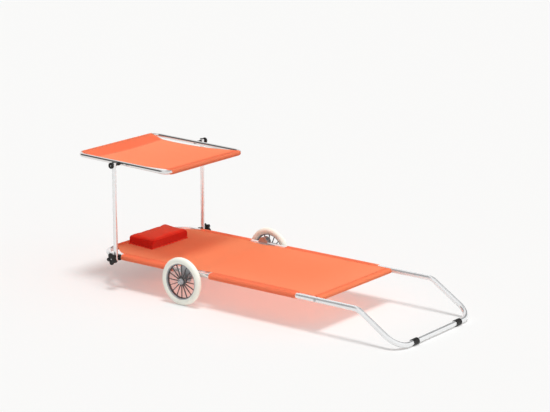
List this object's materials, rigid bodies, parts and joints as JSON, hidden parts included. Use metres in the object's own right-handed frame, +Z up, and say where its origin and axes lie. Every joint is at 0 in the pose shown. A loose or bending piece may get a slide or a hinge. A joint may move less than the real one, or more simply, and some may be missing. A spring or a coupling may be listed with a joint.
{
  "type": "sun lounger with canopy",
  "caption": "Wheeled folding sun lounger with a fabric bed on a tube frame, a pillow at the head end and a tilting fabric canopy on swinging posts.",
  "frame": {"origin": "middle of the footprint, on the floor", "axes": "+X along the lounger towards the foot end, +Y to the left of someone who lies on it, +Z up"},
  "size_m": [1.9126, 0.7336, 0.6312],
  "materials": {
    "bright_tube": "polished",
    "plated_steel": "satin",
    "black_plastic": "satin",
    "rim_plastic": "satin",
    "pale_tyre": "matte",
    "orange_fabric": "matte",
    "red_fabric": "matte"
  },
  "bodies": {
    "foot_section": {"foot_frame_tube": "bright_tube", "foot_hem_bar": "bright_tube", "axle": "plated_steel", "bed_fabric_foot": "orange_fabric", "foot_grip_right": "black_plastic", "foot_grip_left": "black_plastic", "foot_hem_screw_right": "plated_steel", "foot_hem_screw_left": "plated_steel", "hinge_plate_outer_right": "plated_steel", "hinge_plate_outer_left": "plated_steel", "hinge_plate_inner_right": "plated_steel", "hinge_plate_inner_left": "plated_steel", "hinge_pin_right": "plated_steel", "hinge_pin_left": "plated_steel", "head_stop_pin_right": "plated_steel", "head_stop_pin_left": "plated_steel", "hinge_rivet_front_right": "plated_steel", "hinge_rivet_front_left": "plated_steel", "hinge_rivet_rear_right": "plated_steel", "hinge_rivet_rear_left": "plated_steel", "axle_spacer_right": "black_plastic", "axle_spacer_left": "black_plastic", "axle_cap_right": "plated_steel", "axle_cap_left": "plated_steel"},
    "right_wheel": {"tyre_right": "pale_tyre", "wheel_rim_right": "rim_plastic"},
    "left_wheel": {"tyre_left": "pale_tyre", "wheel_rim_left": "rim_plastic"},
    "head_section": {"head_frame_tube": "bright_tube", "bed_fabric_head": "orange_fabric", "pillow": "red_fabric", "lower_bolt_right": "plated_steel", "lower_bolt_left": "plated_steel", "post_saddle_right": "black_plastic", "post_saddle_left": "black_plastic"},
    "canopy_posts": {"canopy_post_right": "bright_tube", "canopy_post_left": "bright_tube", "post_cap_bottom_right": "black_plastic", "post_cap_bottom_left": "black_plastic", "post_cap_top_right": "black_plastic", "post_cap_top_left": "black_plastic"},
    "canopy": {"canopy_frame_tube": "bright_tube", "canopy_fabric": "orange_fabric", "upper_bolt_right": "plated_steel", "upper_bolt_left": "plated_steel", "canopy_bush_right": "black_plastic", "canopy_bush_left": "black_plastic"},
    "star_knob_right": {"star_knob_right": "black_plastic"},
    "star_knob_left": {"star_knob_left": "black_plastic"},
    "round_knob_right": {"round_knob_right": "black_plastic"},
    "round_knob_left": {"round_knob_left": "black_plastic"}
  },
  "joints": [
    {"name": "head_fold", "type": "hinge", "parent": "foot_section", "child": "head_section", "pos_m": [-0.2543, 0, 0.155], "axis": [0, 1, 0], "range_deg": [0, 90]},
    {"name": "right_wheel_spin", "type": "hinge", "parent": "foot_section", "child": "right_wheel", "pos_m": [-0.2543, -0.338, 0.115], "axis": [0, 1, 0], "continuous": true},
    {"name": "left_wheel_spin", "type": "hinge", "parent": "foot_section", "child": "left_wheel", "pos_m": [-0.2543, 0.338, 0.115], "axis": [0, 1, 0], "continuous": true},
    {"name": "post_swing", "type": "hinge", "parent": "head_section", "child": "canopy_posts", "pos_m": [-0.6723, 0, 0.155], "axis": [0, 1, 0], "range_deg": [-70, 10]},
    {"name": "canopy_tilt", "type": "hinge", "parent": "canopy_posts", "child": "canopy", "pos_m": [-0.6723, 0, 0.613], "axis": [0, 1, 0], "range_deg": [-90, 90]},
    {"name": "star_knob_right_turn", "type": "hinge", "parent": "head_section", "child": "star_knob_right", "pos_m": [-0.6723, -0.3563, 0.155], "axis": [0, 1, 0], "range_deg": [0, 360]},
    {"name": "star_knob_left_turn", "type": "hinge", "parent": "head_section", "child": "star_knob_left", "pos_m": [-0.6723, 0.3563, 0.155], "axis": [0, 1, 0], "range_deg": [0, 360]},
    {"name": "round_knob_right_turn", "type": "hinge", "parent": "canopy", "child": "round_knob_right", "pos_m": [-0.6723, -0.3502, 0.613], "axis": [0, 1, 0], "range_deg": [0, 360]},
    {"name": "round_knob_left_turn", "type": "hinge", "parent": "canopy", "child": "round_knob_left", "pos_m": [-0.6723, 0.3502, 0.613], "axis": [0, 1, 0], "range_deg": [0, 360]}
  ]
}
